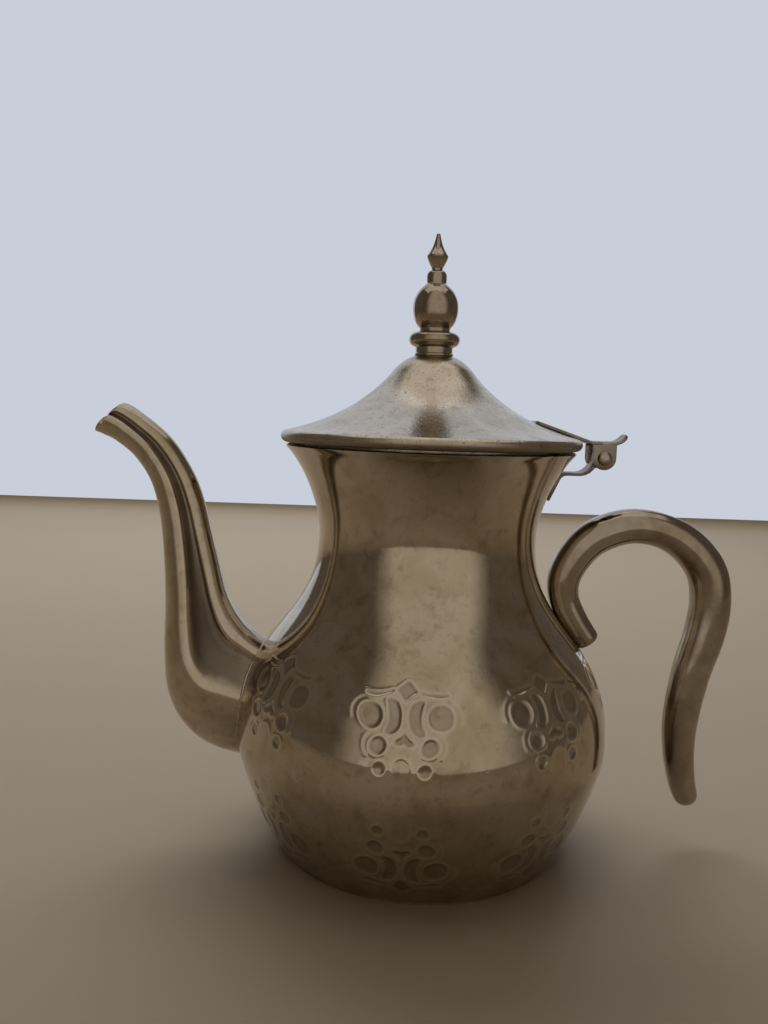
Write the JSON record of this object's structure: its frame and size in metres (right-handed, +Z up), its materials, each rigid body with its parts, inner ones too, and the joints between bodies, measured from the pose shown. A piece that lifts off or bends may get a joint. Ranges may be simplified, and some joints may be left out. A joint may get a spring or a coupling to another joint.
{
  "type": "teapot with hinged lid",
  "caption": "Polished metal teapot with a round belly, flared neck, hinged pointed lid with a turned finial, fluted swan-neck spout and free-ended scroll handle.",
  "frame": {"origin": "centre of the underside of the base plate, on the body's turning axis", "axes": "+Z up along the body's turning axis, +X towards the handle and the lid hinge, the spout points along -X"},
  "size_m": [0.2337, 0.135, 0.22],
  "materials": {
    "polished_body": "mirror polish with fine vertical scratches and a warm grey tone",
    "polished_spout": "mirror polish, warm grey",
    "polished_handle": "mirror polish, warm grey",
    "hinge_strip": "satin sheet with fine scratches",
    "rivet": "worn polish",
    "satin_lid": "soft polish with fine turning marks",
    "turned_finial": "turned and polished, lightly worn",
    "plain_steel": "plain, unpolished"
  },
  "bodies": {
    "pot": {"body_lower": "polished_body", "body_belly": "polished_body", "body_shoulder": "polished_body", "body_neck": "polished_body", "base_plate": "polished_body", "spout_left_half": "polished_spout", "spout_right_half": "polished_spout", "handle_left_half": "polished_handle", "handle_right_half": "polished_handle", "neck_hinge_leaf": "hinge_strip"},
    "lid": {"lid_shell": "satin_lid", "lid_inner_collar": "satin_lid", "lid_hinge_leaf": "hinge_strip", "hinge_pin": "rivet", "finial_collar": "turned_finial", "finial_ball": "turned_finial", "finial_spire": "turned_finial", "finial_stud": "plain_steel", "finial_washer": "plain_steel", "finial_nut": "plain_steel"}
  },
  "joints": [
    {"name": "lid_hinge", "type": "hinge", "parent": "pot", "child": "lid", "pos_m": [0.0616, 0, 0.1432], "axis": [0, 1, 0], "range_deg": [0, 160]}
  ]
}
